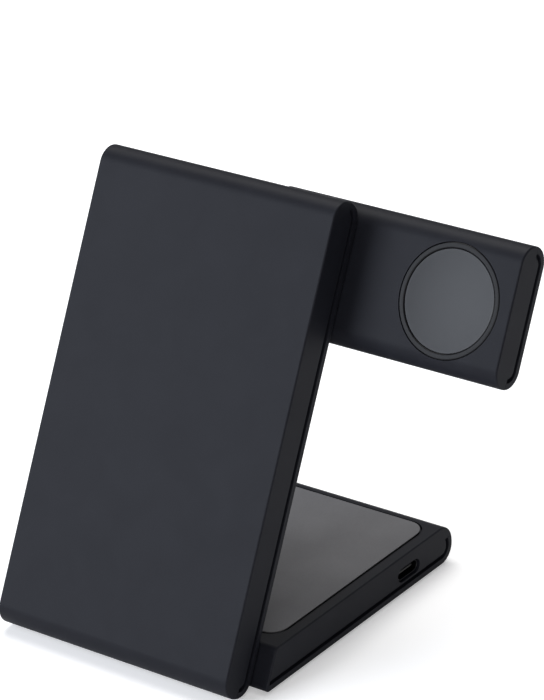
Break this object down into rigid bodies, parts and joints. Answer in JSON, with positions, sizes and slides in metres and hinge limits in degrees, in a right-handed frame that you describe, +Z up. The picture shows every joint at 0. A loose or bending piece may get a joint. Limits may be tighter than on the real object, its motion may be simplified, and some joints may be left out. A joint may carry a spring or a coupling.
{
  "type": "three in one wireless charger",
  "caption": "Folding wireless charger: a leaning panel hinged to a flat base with a charging pad, and an arm with a round puck that slides out from behind the panel.",
  "frame": {"origin": "centre of the foot mat's underside, on the surface the charger stands on", "axes": "+X to the right seen from the front, the way the arm slides out; +Y from the front to the back; +Z up"},
  "size_m": [0.1287, 0.0905, 0.1139],
  "materials": {
    "shell_plastic": "matt, finely textured",
    "pad_rubber": "soft matt",
    "foot_rubber": "matt",
    "zinc_steel": "zinc-plated",
    "socket_steel": "drawn, satin",
    "socket_plastic": "moulded",
    "cast_block": "die-cast",
    "bracket_steel": "matt black",
    "copper_winding": "wound litz wire",
    "ferrite": "dull",
    "magnet_plating": "nickel-plated",
    "circuit_board": "soldered",
    "track_plastic": "moulded",
    "slider_plastic": "smooth",
    "ring_plastic": "satin",
    "puck_plastic": "smooth"
  },
  "bodies": {
    "base": {"base_top_shell": "shell_plastic", "base_bottom_cover": "shell_plastic", "base_pad": "pad_rubber", "foot_mat": "foot_rubber", "ballast_plate": "zinc_steel", "base_coil": "copper_winding", "base_ferrite": "ferrite", "base_board": "circuit_board", "usb_c_shell": "socket_steel", "usb_c_tongue": "socket_plastic", "base_screws": "zinc_steel", "hinge_block_left": "cast_block", "hinge_block_right": "cast_block", "hinge_pin_left": "zinc_steel", "hinge_pin_right": "zinc_steel"},
    "stand": {"stand_front_shell": "shell_plastic", "stand_back_cover": "shell_plastic", "hinge_bracket": "bracket_steel", "bracket_screws": "zinc_steel", "stand_coil": "copper_winding", "stand_ferrite": "ferrite", "stand_magnets": "magnet_plating", "stand_board": "circuit_board", "slide_track": "track_plastic"},
    "arm": {"arm_front_shell": "shell_plastic", "arm_back_cover": "shell_plastic", "arm_slider": "slider_plastic", "slider_screws": "zinc_steel", "puck_ring": "ring_plastic", "puck_dish": "puck_plastic", "arm_coil": "copper_winding", "arm_magnet": "magnet_plating", "arm_ferrite": "ferrite", "arm_board": "circuit_board"}
  },
  "joints": [
    {"name": "stand_tilt", "type": "hinge", "parent": "base", "child": "stand", "pos_m": [0, -0.03164, 0.0059], "axis": [1, 0, 0], "range_deg": [-61.8, 0]},
    {"name": "arm_slide", "type": "slide", "parent": "stand", "child": "arm", "axis": [1, 0, 0], "range_m": [-0.0489, 0]}
  ]
}
